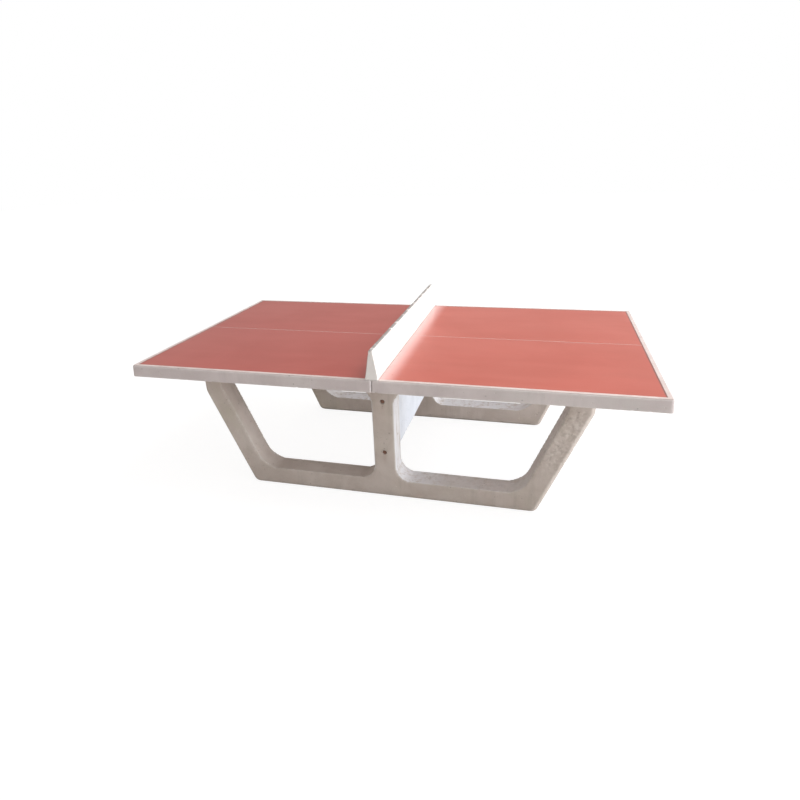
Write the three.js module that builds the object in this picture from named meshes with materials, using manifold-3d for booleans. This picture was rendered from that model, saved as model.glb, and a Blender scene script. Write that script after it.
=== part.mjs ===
// Outdoor table-tennis table in precast concrete, millimetres, +Z up.
// X runs along the 2740 mm length, -Y is the front, the origin is on the floor under the net.

import * as THREE from 'three';
import { mergeVertices } from 'three/addons/utils/BufferGeometryUtils.js';
import Module from 'manifold-3d';

const wasm = await Module();
wasm.setup();

// Driving dimensions of the playing top
const courtLength = 2740;
const courtWidth = 1525;
const courtHeight = 785;
const borderLineWidth = 20;
const centreLineWidth = 3;
const coatThickness = 2;
const slabThickness = 63;
const slabJointGap = 4;
const slabSideDraft = 4;
const slabArris = { wide: 5, deep: 8 };
const slabBottomArris = 4;

// Driving dimensions of the net wall
const netHeight = 152.5;
const netBaseWidth = 68;
const netTopWidth = 18;
const netArris = 3;
const netToCoatGap = 1;

// Driving dimensions of the side frames and the panel between them
const frameOuterFaceY = 598;
const frameThickness = 125;
const frameArris = 15;
const footHalfLength = 832;
const footCornerRadius = 28;
const legSlope = 0.404;
const legOuterKneeHeight = 590;
const legInnerKneeHeight = 620;
const legWidth = 124;
const railHeight = 110;
const postHalfWidth = 58;
const headHalfWidth = 160;
const headUndersideHeight = 665;
const legFilletRadius = 140;
const postFilletRadius = 95;
const headFilletRadius = 90;
const panelThickness = 80;
const panelBottomHeight = 250;
const panelArris = 8;
const pieceGap = 0.3;

// Bearing pads and fixings
const padThickness = 4;
const legPad = { length: 76, width: 100 };
const headPad = { length: 130, width: 100, inset: 12 };
const dowel = { radius: 8, length: 100, inSlab: 38, clearance: 0.5 };
const bolt = { radius: 6, length: 170, headAcross: 19, headHeight: 7.5, holeRadius: 7 };
const boltWasher = { radius: 12, thickness: 2.5 };
const boltRecess = { radius: 13, depth: 12 };
const boltHeights = { lower: 290, upper: 597 };
const socket = { radius: 10, length: 70, floor: 6 };
const rod = { radius: 6, inNet: 60, belowSlab: 24, slotRadius: 8 };
const rodDistanceFromCentre = 690;
const anchorPlate = { length: 80, width: 60, thickness: 6 };
const nut = { across: 19, height: 10 };
const roundSegments = 28;

// Levels and places that follow from them
const slabTop = courtHeight - coatThickness;
const slabBottom = slabTop - slabThickness;
const frameTop = slabBottom - padThickness;
const frameInnerFaceY = frameOuterFaceY - frameThickness;
const frameMiddleY = (frameOuterFaceY + frameInnerFaceY) / 2;
const legTopOuter = footHalfLength + legSlope * legOuterKneeHeight;
const legTopInner = footHalfLength + legSlope * legInnerKneeHeight - legWidth;
const legTopMiddle = (legTopOuter + legTopInner) / 2;
const courtInnerX = netBaseWidth / 2 + netToCoatGap;
const redHalfLength = courtLength / 2 - borderLineWidth;
const redHalfWidth = courtWidth / 2 - borderLineWidth;

// Axes that lay a drawn outline on the XZ or the YZ plane and extrude it along -Y or +X
const xAxis = new THREE.Vector3(1, 0, 0);
const yAxis = new THREE.Vector3(0, 1, 0);
const zAxis = new THREE.Vector3(0, 0, 1);
const alongMinusY = new THREE.Matrix4().makeBasis(xAxis, zAxis, yAxis.clone().negate());
const alongX = new THREE.Matrix4().makeBasis(yAxis, zAxis, xAxis);

function standard(color, roughness, metalness = 0) {
  return () => new THREE.MeshStandardMaterial({ color, roughness, metalness });
}

const concrete = standard(0xb9afa6, 0.85);
const panelPaint = standard(0xdfe2ea, 0.6);
const redResin = standard(0xbe5a4e, 0.45);
const linePaint = standard(0xf1ebe8, 0.5);
const rustySteel = standard(0x6a4a3c, 0.8, 0.4);
const zincSteel = standard(0x9fa3a6, 0.45, 0.9);
const padRubber = standard(0x2b2b2b, 0.9);

// A drawn geometry as a solid that can be joined and cut, and back again
function toSolid(geometry) {
  const bare = geometry.clone();
  bare.deleteAttribute('normal');
  bare.deleteAttribute('uv');
  const merged = mergeVertices(bare, 1e-3);
  const vertProperties = new Float32Array(merged.attributes.position.array);
  const triVerts = new Uint32Array(merged.index.array);
  return new wasm.Manifold(new wasm.Mesh({ numProp: 3, vertProperties, triVerts }));
}

function toGeometry(solid) {
  const { vertProperties, triVerts } = solid.getMesh();
  const geometry = new THREE.BufferGeometry();
  geometry.setAttribute('position', new THREE.BufferAttribute(vertProperties, 3));
  geometry.setIndex(new THREE.BufferAttribute(triVerts, 1));
  geometry.computeVertexNormals();
  return geometry;
}

function cut(geometry, tools) {
  return toGeometry(tools.reduce((solid, tool) => solid.subtract(toSolid(tool)), toSolid(geometry)));
}

// Outlines
function rectangle(x0, y0, x1, y1) {
  const outline = new THREE.Shape();
  outline.moveTo(x0, y0).lineTo(x1, y0).lineTo(x1, y1).lineTo(x0, y1).closePath();
  return outline;
}

function polygon(points) {
  return new THREE.Shape(points.map(([x, y]) => new THREE.Vector2(x, y)));
}

function circleHole(x, y, radius) {
  return new THREE.Path().absarc(x, y, radius, 0, Math.PI * 2, true);
}

// Rounds each corner of a closed outline by its own radius; radius 0 keeps it sharp
function roundedOutline(corners) {
  const outline = new THREE.Shape();
  corners.forEach(([x, y, radius], index) => {
    const here = new THREE.Vector2(x, y);
    const [previousX, previousY] = corners.at(index - 1);
    const [nextX, nextY] = corners[(index + 1) % corners.length];
    const back = new THREE.Vector2(previousX, previousY).sub(here).normalize();
    const ahead = new THREE.Vector2(nextX, nextY).sub(here).normalize();
    const halfAngle = Math.acos(back.dot(ahead)) / 2;
    const tangent = radius / Math.tan(halfAngle);
    const start = here.clone().addScaledVector(back, tangent);
    const finish = here.clone().addScaledVector(ahead, tangent);
    if (index === 0) outline.moveTo(start.x, start.y);
    else outline.lineTo(start.x, start.y);
    if (radius === 0) return;
    const centre = here.clone().addScaledVector(back.add(ahead).normalize(), radius / Math.sin(halfAngle));
    const startAngle = Math.atan2(start.y - centre.y, start.x - centre.x);
    const finishAngle = Math.atan2(finish.y - centre.y, finish.x - centre.x);
    const turn = Math.atan2(Math.sin(finishAngle - startAngle), Math.cos(finishAngle - startAngle));
    outline.absarc(centre.x, centre.y, radius, startAngle, finishAngle, turn < 0);
  });
  return outline;
}

// Straight extrusions, with all edges of both end faces chamfered where arris is given
function extrude(outline, depth, arris = 0) {
  return new THREE.ExtrudeGeometry(outline, {
    depth: depth - 2 * arris,
    curveSegments: 10,
    bevelEnabled: arris > 0,
    bevelSize: arris,
    bevelThickness: arris,
    bevelOffset: -arris,
    bevelSegments: 1,
  }).translate(0, 0, arris);
}

function extrudeAlongY(outline, y0, y1, arris = 0) {
  return extrude(outline, y1 - y0, arris).applyMatrix4(alongMinusY).translate(0, y1, 0);
}

function extrudeAlongX(outline, x0, x1) {
  return extrude(outline, x1 - x0).applyMatrix4(alongX).translate(x0, 0, 0);
}

function extrudeUp(outline, z0, z1) {
  return extrude(outline, z1 - z0).translate(0, 0, z0);
}

function roundBarAlongY(radius, y0, y1) {
  const bar = new THREE.CylinderGeometry(radius, radius, y1 - y0, roundSegments);
  return bar.translate(0, (y0 + y1) / 2, 0);
}

function uprightBar(radius, z0, z1) {
  return roundBarAlongY(radius, z0, z1).applyMatrix4(new THREE.Matrix4().makeBasis(yAxis, zAxis, xAxis));
}

// One edge of the top in section: chamfered bottom arris, drafted side, chamfered top arris
function slabEdge(half) {
  const sideTop = half + slabArris.wide;
  const sideBottom = sideTop + slabSideDraft;
  return [
    [sideBottom - slabBottomArris, slabBottom],
    [sideBottom, slabBottom + slabBottomArris],
    [sideTop, slabTop - slabArris.deep],
    [half, slabTop],
  ];
}

// Half of the top: free on three sides, square at the joint, slotted there for the anchor rods
function halfTop(side) {
  const lengthwise = slabEdge(courtLength / 2).map(([x, z]) => [side * x, z]);
  const jointX = (side * slabJointGap) / 2;
  const longSection = polygon([[jointX, slabBottom], ...lengthwise, [jointX, slabTop]]);
  const edge = slabEdge(courtWidth / 2);
  const crossSection = polygon([...edge, ...edge.map(([y, z]) => [-y, z]).reverse()]);
  const blockLong = toSolid(extrudeAlongY(longSection, -courtWidth, courtWidth));
  const blockCross = toSolid(extrudeAlongX(crossSection, -courtLength, courtLength));
  const tools = [-1, 1].flatMap((end) => [
    uprightBar(rod.slotRadius, slabBottom - 10, slabTop + 10).translate(0, end * rodDistanceFromCentre, 0),
    uprightBar(dowel.radius + dowel.clearance, slabBottom - 10, slabBottom + dowel.inSlab + 1).translate(
      side * legTopMiddle, end * frameMiddleY, 0),
  ]);
  return cut(toGeometry(blockLong.intersect(blockCross)), tools);
}

function redField(side, end) {
  const inner = side * courtInnerX;
  const outer = side * redHalfLength;
  return extrudeUp(
    rectangle(inner, (end * centreLineWidth) / 2, outer, end * redHalfWidth), slabTop, courtHeight);
}

function centreLine(side) {
  const half = centreLineWidth / 2;
  return extrudeUp(rectangle(side * courtInnerX, -half, side * redHalfLength, half), slabTop, courtHeight);
}

// Three-sided border of one half court: two side lines joined by the end line
function borderLine(side) {
  const inner = side * courtInnerX;
  const outer = (side * courtLength) / 2;
  const lineX = side * redHalfLength;
  const outerY = courtWidth / 2;
  return extrudeUp(polygon([
    [inner, -outerY], [outer, -outerY], [outer, outerY], [inner, outerY],
    [inner, redHalfWidth], [lineX, redHalfWidth], [lineX, -redHalfWidth], [inner, -redHalfWidth],
  ]), slabTop, courtHeight);
}

// Solid wedge net with blind holes for the anchor rods in its base
function netWall() {
  const top = courtHeight + netHeight;
  const section = polygon([
    [-netBaseWidth / 2, slabTop], [netBaseWidth / 2, slabTop],
    [netTopWidth / 2, top - netArris], [netTopWidth / 2 - netArris, top],
    [netArris - netTopWidth / 2, top], [-netTopWidth / 2, top - netArris],
  ]);
  const holes = [-1, 1].map((end) =>
    uprightBar(rod.radius + pieceGap, slabTop - 10, slabTop + rod.inNet + pieceGap).translate(
      0, end * rodDistanceFromCentre, 0));
  return cut(extrudeAlongY(section, -courtWidth / 2, courtWidth / 2), holes);
}

// Half outline of the W-shaped frame from the foot round to the head: [x, z, corner radius]
function frameHalfCorners() {
  const legFootInner = footHalfLength + legSlope * railHeight - legWidth;
  return [
    [footHalfLength, 0, footCornerRadius],
    [legTopOuter, legOuterKneeHeight, 0],
    [legTopOuter, frameTop, 0],
    [legTopInner, frameTop, 0],
    [legTopInner, legInnerKneeHeight, 0],
    [legFootInner, railHeight, legFilletRadius],
    [postHalfWidth, railHeight, postFilletRadius],
    [postHalfWidth, headUndersideHeight, headFilletRadius],
    [headHalfWidth, headUndersideHeight, 0],
    [headHalfWidth, frameTop, 0],
  ];
}

// Front frame: outer face towards -Y, recessed bolt holes in the post, dowel holes in the leg tops
function sideFrame() {
  const right = frameHalfCorners();
  const left = right.map(([x, z, radius]) => [-x, z, radius]).reverse();
  const outline = roundedOutline([...right, ...left]);
  const body = extrudeAlongY(outline, -frameOuterFaceY, -frameInnerFaceY, frameArris);
  const boltCuts = Object.values(boltHeights).flatMap((height) => [
    roundBarAlongY(bolt.holeRadius, -frameOuterFaceY - 10, -frameInnerFaceY + 10).translate(0, 0, height),
    roundBarAlongY(boltRecess.radius, -frameOuterFaceY - 10, boltRecess.depth - frameOuterFaceY).translate(
      0, 0, height),
  ]);
  const dowelHoleFloor = slabBottom + dowel.inSlab - dowel.length - 1;
  const dowelCuts = [-1, 1].map((side) =>
    uprightBar(dowel.radius + pieceGap, dowelHoleFloor, frameTop + 10).translate(
      side * legTopMiddle, -frameMiddleY, 0));
  return cut(body, [...boltCuts, ...dowelCuts]);
}

// Panel across the table between the two frames, with a round pocket for each threaded socket
function centrePanel() {
  const half = panelThickness / 2;
  const end = frameInnerFaceY - pieceGap;
  const section = polygon([
    [panelArris - half, panelBottomHeight], [half - panelArris, panelBottomHeight],
    [half, panelBottomHeight + panelArris], [half, frameTop], [-half, frameTop],
    [-half, panelBottomHeight + panelArris],
  ]);
  const pockets = [-1, 1].flatMap((side) => Object.values(boltHeights).map((height) => {
    const inside = side * (end - socket.length - 2 * pieceGap);
    const outside = side * (end + 10);
    const pocket = roundBarAlongY(
      socket.radius + pieceGap, Math.min(inside, outside), Math.max(inside, outside));
    return pocket.translate(0, 0, height);
  }));
  return cut(extrudeAlongY(section, -end, end), pockets);
}

// Fixings of the front frame, drawn about their own axis
function hexagon(across) {
  const corner = across / Math.sqrt(3);
  const corners = Array.from({ length: 6 }, (_, index) => (index * Math.PI) / 3);
  return polygon(corners.map((angle) => [corner * Math.cos(angle), corner * Math.sin(angle)]));
}

function panelBolt() {
  const head = toSolid(extrudeAlongY(hexagon(bolt.headAcross), -bolt.headHeight, 0));
  const shank = toSolid(roundBarAlongY(bolt.radius, -bolt.headHeight / 2, bolt.length));
  return toGeometry(head.add(shank));
}

function panelBoltWasher() {
  const ring = new THREE.Shape().absarc(0, 0, boltWasher.radius, 0, Math.PI * 2);
  ring.holes.push(circleHole(0, 0, bolt.radius + pieceGap));
  return extrudeAlongY(ring, 0, boltWasher.thickness);
}

// Blind sleeve that takes the bolt end: mouth at y = 0, closed floor away from it
function threadedSocket() {
  const bore = bolt.radius + pieceGap;
  const profile = [
    [0, socket.length], [socket.radius, socket.length], [socket.radius, 0],
    [bore, 0], [bore, socket.length - socket.floor], [0, socket.length - socket.floor],
  ];
  return new THREE.LatheGeometry(profile.map(([r, y]) => new THREE.Vector2(r, y)).reverse(), roundSegments);
}

function legPadPiece() {
  const outline = rectangle(-legPad.length / 2, -legPad.width / 2, legPad.length / 2, legPad.width / 2);
  outline.holes.push(circleHole(0, 0, dowel.radius + dowel.clearance));
  return extrudeUp(outline, frameTop, slabBottom);
}

function headPadPiece() {
  return extrudeUp(
    rectangle(-headPad.length / 2, -headPad.width / 2, headPad.length / 2, headPad.width / 2),
    frameTop, slabBottom);
}

function panelPad() {
  const end = frameInnerFaceY - pieceGap;
  const half = panelThickness / 2;
  return extrudeUp(rectangle(-half, -end, half, end), frameTop, slabBottom);
}

function locatingDowel() {
  const top = slabBottom + dowel.inSlab;
  return uprightBar(dowel.radius, top - dowel.length, top);
}

// Net fixings at each end of the joint: rod, square plate under both half tops, and nut
function anchorRod() {
  return uprightBar(rod.radius, slabBottom - rod.belowSlab, slabTop + rod.inNet);
}

function anchorPlatePiece() {
  const outline = rectangle(
    -anchorPlate.length / 2, -anchorPlate.width / 2, anchorPlate.length / 2, anchorPlate.width / 2);
  outline.holes.push(circleHole(0, 0, rod.radius + dowel.clearance));
  return extrudeUp(outline, slabBottom - anchorPlate.thickness, slabBottom);
}

function anchorNut() {
  const outline = hexagon(nut.across);
  outline.holes.push(circleHole(0, 0, rod.radius + pieceGap));
  const top = slabBottom - anchorPlate.thickness;
  return extrudeUp(outline, top - nut.height, top);
}

// Scene graph
const table = new THREE.Group();

function add(parent, name, geometry, material, place = [0, 0, 0]) {
  const mesh = new THREE.Mesh(geometry, material());
  mesh.name = name;
  mesh.position.set(...place);
  parent.add(mesh);
}

function addTop() {
  for (const [sideName, side] of [['left', -1], ['right', 1]]) {
    add(table, `half_top_${sideName}`, halfTop(side), concrete);
    add(table, `border_line_${sideName}`, borderLine(side), linePaint);
    add(table, `centre_line_${sideName}`, centreLine(side), linePaint);
    for (const [endName, end] of [['front', -1], ['rear', 1]]) {
      add(table, `red_field_${sideName}_${endName}`, redField(side, end), redResin);
    }
  }
}

function addNet() {
  add(table, 'net_wall', netWall(), concrete);
  for (const [endName, end] of [['front', -1], ['rear', 1]]) {
    const place = [0, end * rodDistanceFromCentre, 0];
    add(table, `net_rod_${endName}`, anchorRod(), zincSteel, place);
    add(table, `net_anchor_plate_${endName}`, anchorPlatePiece(), zincSteel, place);
    add(table, `net_nut_${endName}`, anchorNut(), zincSteel, place);
  }
}

// One end of the base, drawn for the front and turned half round for the rear
function addBaseEnd(endName, turn) {
  const end = new THREE.Group();
  end.rotation.z = turn;
  table.add(end);
  add(end, `side_frame_${endName}`, sideFrame(), concrete);
  for (const side of [-1, 1]) {
    const sideName = side * Math.cos(turn) < 0 ? 'left' : 'right';
    const legPlace = [side * legTopMiddle, -frameMiddleY, 0];
    const headPlace = [side * (headPad.inset + headPad.length / 2), -frameMiddleY, 0];
    add(end, `leg_pad_${sideName}_${endName}`, legPadPiece(), padRubber, legPlace);
    add(end, `locating_dowel_${sideName}_${endName}`, locatingDowel(), zincSteel, legPlace);
    add(end, `head_pad_${sideName}_${endName}`, headPadPiece(), padRubber, headPlace);
  }
  const recessFloorY = boltRecess.depth - frameOuterFaceY;
  for (const [level, height] of Object.entries(boltHeights)) {
    const headPlace = [0, recessFloorY - boltWasher.thickness, height];
    add(end, `panel_bolt_${level}_${endName}`, panelBolt(), rustySteel, headPlace);
    add(end, `panel_washer_${level}_${endName}`, panelBoltWasher(), rustySteel, headPlace);
    const mouth = [0, pieceGap - frameInnerFaceY, height];
    add(end, `panel_socket_${level}_${endName}`, threadedSocket(), zincSteel, mouth);
  }
}

addTop();
addNet();
addBaseEnd('front', 0);
addBaseEnd('rear', Math.PI);
add(table, 'centre_panel', centrePanel(), panelPaint);
add(table, 'panel_pad', panelPad(), padRubber);

export default table;
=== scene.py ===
import math
import random

import bmesh
import bpy
from mathutils import Euler, Matrix, Vector, noise


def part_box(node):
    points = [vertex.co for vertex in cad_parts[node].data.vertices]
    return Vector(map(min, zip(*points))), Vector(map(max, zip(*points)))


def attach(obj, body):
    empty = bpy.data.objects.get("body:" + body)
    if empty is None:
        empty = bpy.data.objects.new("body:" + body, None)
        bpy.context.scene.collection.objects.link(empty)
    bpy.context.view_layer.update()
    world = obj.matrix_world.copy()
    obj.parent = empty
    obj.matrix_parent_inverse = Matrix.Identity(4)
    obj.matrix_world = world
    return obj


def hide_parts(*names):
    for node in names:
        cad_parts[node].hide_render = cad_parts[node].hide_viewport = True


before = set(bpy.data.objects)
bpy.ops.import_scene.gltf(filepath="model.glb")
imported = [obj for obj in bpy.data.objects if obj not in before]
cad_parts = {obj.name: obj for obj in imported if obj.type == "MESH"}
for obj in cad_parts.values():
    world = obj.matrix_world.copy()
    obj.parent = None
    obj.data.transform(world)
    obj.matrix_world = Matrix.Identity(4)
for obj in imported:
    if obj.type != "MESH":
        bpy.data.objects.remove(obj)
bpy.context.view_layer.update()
scene = bpy.context.scene
sides = {"left": -1, "right": 1}
ends = {"front": -1, "rear": 1}
levels = ("lower", "upper")


# camera and studio

cameraValues = {
    "place": (0.775, -3.154, 1.773),
    "turn": math.radians(14.82),      # towards the left half
    "tilt": math.radians(-23.65),     # below the horizon
    "roll": math.radians(-1.96),
    "lens": 24.66,
}


def makeCamera(values):
    turn, tilt, roll = values["turn"], values["tilt"], values["roll"]
    ahead = Vector((-math.sin(turn) * math.cos(tilt), math.cos(turn) * math.cos(tilt), math.sin(tilt)))
    level = Vector((math.cos(turn), math.sin(turn), 0))
    upright = level.cross(ahead)
    right = level * math.cos(roll) + upright * math.sin(roll)
    up = upright * math.cos(roll) - level * math.sin(roll)
    lensData = bpy.data.cameras.new("camera")
    lensData.lens = values["lens"]
    lensData.clip_end = 60
    camera = bpy.data.objects.new("camera", lensData)
    turned = Matrix((right, up, -ahead)).transposed().to_4x4()
    camera.matrix_world = Matrix.Translation(values["place"]) @ turned
    scene.collection.objects.link(camera)
    scene.camera = camera


lightValues = {
    "key": {"place": (1.9, 0.5, 4.8), "size": (3.0, 3.0), "energy": 125, "colour": (1, 0.985, 0.96)},
    "sideWindow": {"place": (7.0, -0.9, 1.0), "size": (2.6, 1.8), "energy": 255, "colour": (0.94, 0.97, 1)},
    "backWindow": {"place": (0.3, 4.2, 1.0), "size": (4.0, 1.3), "energy": 45, "colour": (1, 0.99, 0.98),
                   "mirrored": False},
    "skyLow": (0.455, 0.435, 0.42),     # everywhere
    "skyRight": (0.95, 1.00, 1.08),     # added towards the right
    "skyBack": (0.06, 0.065, 0.07),     # added behind the table
    "skyLeft": (0.24, 0.235, 0.23),     # added towards the left
}


def areaLight(name, values, target):
    lamp = bpy.data.lights.new(name, "AREA")
    lamp.shape = "RECTANGLE"
    lamp.size, lamp.size_y = values["size"]
    lamp.energy = values["energy"]
    lamp.color = values["colour"]
    holder = bpy.data.objects.new(name, lamp)
    holder.location = values["place"]
    aim = Vector(target) - Vector(values["place"])
    holder.rotation_euler = aim.to_track_quat("-Z", "Y").to_euler()
    holder.visible_camera = False
    holder.visible_glossy = values.get("mirrored", True)
    scene.collection.objects.link(holder)


# small helpers for shader trees

def addNode(tree, kind, sockets=None, **settings):
    made = tree.nodes.new(kind)
    for key, value in settings.items():
        setattr(made, key, value)
    for label, value in (sockets or {}).items():
        if isinstance(value, bpy.types.NodeSocket):
            tree.links.new(value, made.inputs[label])
        else:
            made.inputs[label].default_value = value
    return made


def maths(tree, operation, first, second=0.0, clamp=False):
    made = addNode(tree, "ShaderNodeMath", {0: first, 1: second}, operation=operation, use_clamp=clamp)
    return made.outputs[0]


def mapRange(tree, value, low, high, toLow=0.0, toHigh=1.0):
    sockets = {"Value": value, "From Min": low, "From Max": high, "To Min": toLow, "To Max": toHigh}
    return addNode(tree, "ShaderNodeMapRange", sockets, interpolation_type="SMOOTHSTEP").outputs[0]


def mixColour(tree, factor, first, second, blend="MIX"):
    made = addNode(tree, "ShaderNodeMix", {0: factor, 6: first, 7: second}, data_type="RGBA")
    made.blend_type = blend
    return made.outputs[2]


def times(tree, first, second, clamp=False):
    return maths(tree, "MULTIPLY", first, second, clamp)


def plus(tree, first, second):
    return maths(tree, "ADD", first, second)


def axesOf(tree, vector):
    return addNode(tree, "ShaderNodeSeparateXYZ", {0: vector}).outputs


def attributeOf(tree, name):
    return addNode(tree, "ShaderNodeAttribute", attribute_name=name).outputs["Fac"]


def scaled(tree, vector, scale):
    return addNode(tree, "ShaderNodeMapping", {"Vector": vector, "Scale": scale}).outputs[0]


def noiseOf(tree, vector, scale, detail=3.0, rough=0.55, warp=0.0):
    sockets = {"Vector": vector, "Scale": scale, "Detail": detail, "Roughness": rough, "Distortion": warp}
    return addNode(tree, "ShaderNodeTexNoise", sockets).outputs[0]


# shared effects, each a group that reads a Vector

def newGroup(name, inputs, outputs):
    tree = bpy.data.node_groups.new(name, "ShaderNodeTree")
    tree.interface.new_socket("Vector", in_out="INPUT", socket_type="NodeSocketVector")
    for label, value in inputs.items():
        made = tree.interface.new_socket(label, in_out="INPUT", socket_type="NodeSocketFloat")
        made.default_value = value
    for label in outputs:
        tree.interface.new_socket(label, in_out="OUTPUT", socket_type="NodeSocketFloat")
    given = tree.nodes.new("NodeGroupInput").outputs
    return tree, given, given["Vector"]


def putOut(tree, **results):
    out = tree.nodes.new("NodeGroupOutput").inputs
    for label, value in results.items():
        tree.links.new(value, out[label])
    return tree


def castGrainGroup():
    tree, given, place = newGroup(
        "cast grain", {"Patch Scale": 4.0, "Grain Scale": 260.0}, ["Patches", "Grain", "Height"])
    broad = noiseOf(tree, place, given["Patch Scale"], 6.0, 0.62, 0.4)
    sand = noiseOf(tree, place, given["Grain Scale"], 4.0, 0.7)
    middle = noiseOf(tree, place, times(tree, given["Grain Scale"], 0.16), 3.0, 0.6)
    return putOut(tree, Patches=mapRange(tree, broad, 0.33, 0.68), Grain=mapRange(tree, sand, 0.25, 0.75),
                  Height=plus(tree, times(tree, sand, 0.55), times(tree, middle, 0.8)))


def airPitsGroup():
    tree, given, place = newGroup("air pits", {"Cells": 55.0, "Share": 0.3}, ["Mask", "Height"])
    cells = addNode(tree, "ShaderNodeTexVoronoi", {"Vector": place, "Scale": given["Cells"]})
    chance = addNode(tree, "ShaderNodeSeparateColor", {0: cells.outputs["Color"]}).outputs[0]
    start = maths(tree, "SUBTRACT", 1.0, given["Share"])
    reach = maths(tree, "MAXIMUM", mapRange(tree, chance, start, 1.0, 0.0, 0.24), 0.0005)
    ratio = maths(tree, "DIVIDE", cells.outputs["Distance"], reach)
    mask = mapRange(tree, ratio, 1.0, 0.55)
    return putOut(tree, Mask=mask, Height=times(tree, mask, -1.0))


def weatherRunsGroup():
    tree, given, place = newGroup("weather runs", {"Share": 0.4}, ["Mask"])
    thread = noiseOf(tree, scaled(tree, place, (16, 16, 1.1)), 1.0, 4.0, 0.65, 0.3)
    broad = noiseOf(tree, place, 2.3, 3.0, 0.5)
    both = times(tree, mapRange(tree, thread, 0.45, 0.72), mapRange(tree, broad, 0.38, 0.66))
    return putOut(tree, Mask=times(tree, both, given["Share"], True))


def edgeWearGroup():
    tree, given, place = newGroup("edge wear", {"Edge": 0.0, "Amount": 0.5}, ["Mask"])
    broken = mapRange(tree, noiseOf(tree, place, 38.0, 4.0, 0.7), 0.36, 0.6)
    return putOut(tree, Mask=times(tree, times(tree, given["Edge"], broken), given["Amount"], True))


def floorSplashGroup():
    tree, given, place = newGroup("floor splash", {"Reach": 0.16}, ["Mask"])
    ragged = times(tree, noiseOf(tree, place, 9.0, 4.0, 0.6), 0.12)
    lifted = plus(tree, axesOf(tree, place)["Z"], ragged)
    return putOut(tree, Mask=mapRange(tree, lifted, given["Reach"], 0.02))


def rustBloomGroup():
    tree, given, place = newGroup("rust bloom", {"Scale": 90.0}, ["Bloom", "Flecks", "Height"])
    bloom = noiseOf(tree, place, given["Scale"], 6.0, 0.7, 0.6)
    flecks = noiseOf(tree, place, times(tree, given["Scale"], 5.0), 3.0, 0.6)
    return putOut(tree, Bloom=mapRange(tree, bloom, 0.35, 0.65), Flecks=mapRange(tree, flecks, 0.4, 0.65),
                  Height=plus(tree, times(tree, bloom, 0.6), times(tree, flecks, 0.4)))


def rolledResinGroup():
    tree, given, place = newGroup("rolled resin", {"Pile": 150.0}, ["Patches", "Scuffs", "Height"])
    broad = noiseOf(tree, place, 1.7, 5.0, 0.6, 0.5)
    lanes = noiseOf(tree, scaled(tree, place, (1.6, 9.0, 1.0)), 1.0, 3.0, 0.5)
    peel = noiseOf(tree, place, given["Pile"], 2.0, 0.5)
    fine = noiseOf(tree, place, times(tree, given["Pile"], 4.0), 2.0, 0.5)
    scuffs = noiseOf(tree, scaled(tree, place, (2.2, 13.0, 1.0)), 1.0, 3.0, 0.5, 0.3)
    patches = plus(tree, times(tree, broad, 0.65), times(tree, lanes, 0.35))
    return putOut(tree, Patches=mapRange(tree, patches, 0.36, 0.64),
                  Scuffs=mapRange(tree, scuffs, 0.42, 0.72),
                  Height=plus(tree, times(tree, peel, 0.8), times(tree, fine, 0.2)))


groups = {
    "grain": castGrainGroup(),
    "pits": airPitsGroup(),
    "runs": weatherRunsGroup(),
    "wear": edgeWearGroup(),
    "splash": floorSplashGroup(),
    "rust": rustBloomGroup(),
    "resin": rolledResinGroup(),
}
print("shader groups ready:", len(groups))


def useGroup(tree, name, place, sockets):
    return addNode(tree, "ShaderNodeGroup", {"Vector": place, **sockets}, node_tree=groups[name]).outputs


def newMaterial(name):
    material = bpy.data.materials.new(name)
    material.use_nodes = True
    tree = material.node_tree
    place = tree.nodes.new("ShaderNodeTexCoord").outputs["Object"]
    return material, tree, tree.nodes["Principled BSDF"], place


def feed(tree, shader, colour, rough, metal=None):
    tree.links.new(colour, shader.inputs["Base Color"])
    tree.links.new(rough, shader.inputs["Roughness"])
    if metal is not None:
        tree.links.new(metal, shader.inputs["Metallic"])


def addBump(tree, shader, height, distance):
    bump = addNode(tree, "ShaderNodeBump", {"Height": height, "Distance": distance, "Strength": 1.0})
    tree.links.new(bump.outputs[0], shader.inputs["Normal"])


def rustRunMask(tree, place, spots, values):
    axes = axesOf(tree, place)
    sway = times(tree, maths(tree, "SUBTRACT", noiseOf(tree, place, 30.0, 3.0), 0.5), 0.02)
    across = maths(tree, "ABSOLUTE", plus(tree, axes["X"], sway))
    narrow = mapRange(tree, across, values["halfWidth"], 0.002)
    total = None
    for height in spots:
        below = mapRange(tree, axes["Z"], height - values["length"], height)
        capped = maths(tree, "LESS_THAN", axes["Z"], height + 0.006)
        run = times(tree, times(tree, narrow, below), capped)
        total = run if total is None else maths(tree, "MAXIMUM", total, run)
    return times(tree, total, values["strength"])


def dirtyEdges(tree, edge, values, height):     # dirt on the arrises and on a top, and darker at a foot
    if "grimeLevels" not in values:
        return edge
    foot, top = values["grimeLevels"]
    dirty = times(tree, edge, mapRange(tree, height, foot + 0.008, foot + 0.020))
    dirty = maths(tree, "MAXIMUM", dirty, mapRange(tree, height, top, top + 0.003))
    # darker within a few millimetres of the foot
    darkAtFoot = times(tree, mapRange(tree, height, foot + 0.006, foot), values["footDarkening"])
    return maths(tree, "MAXIMUM", dirty, darkAtFoot)


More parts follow.
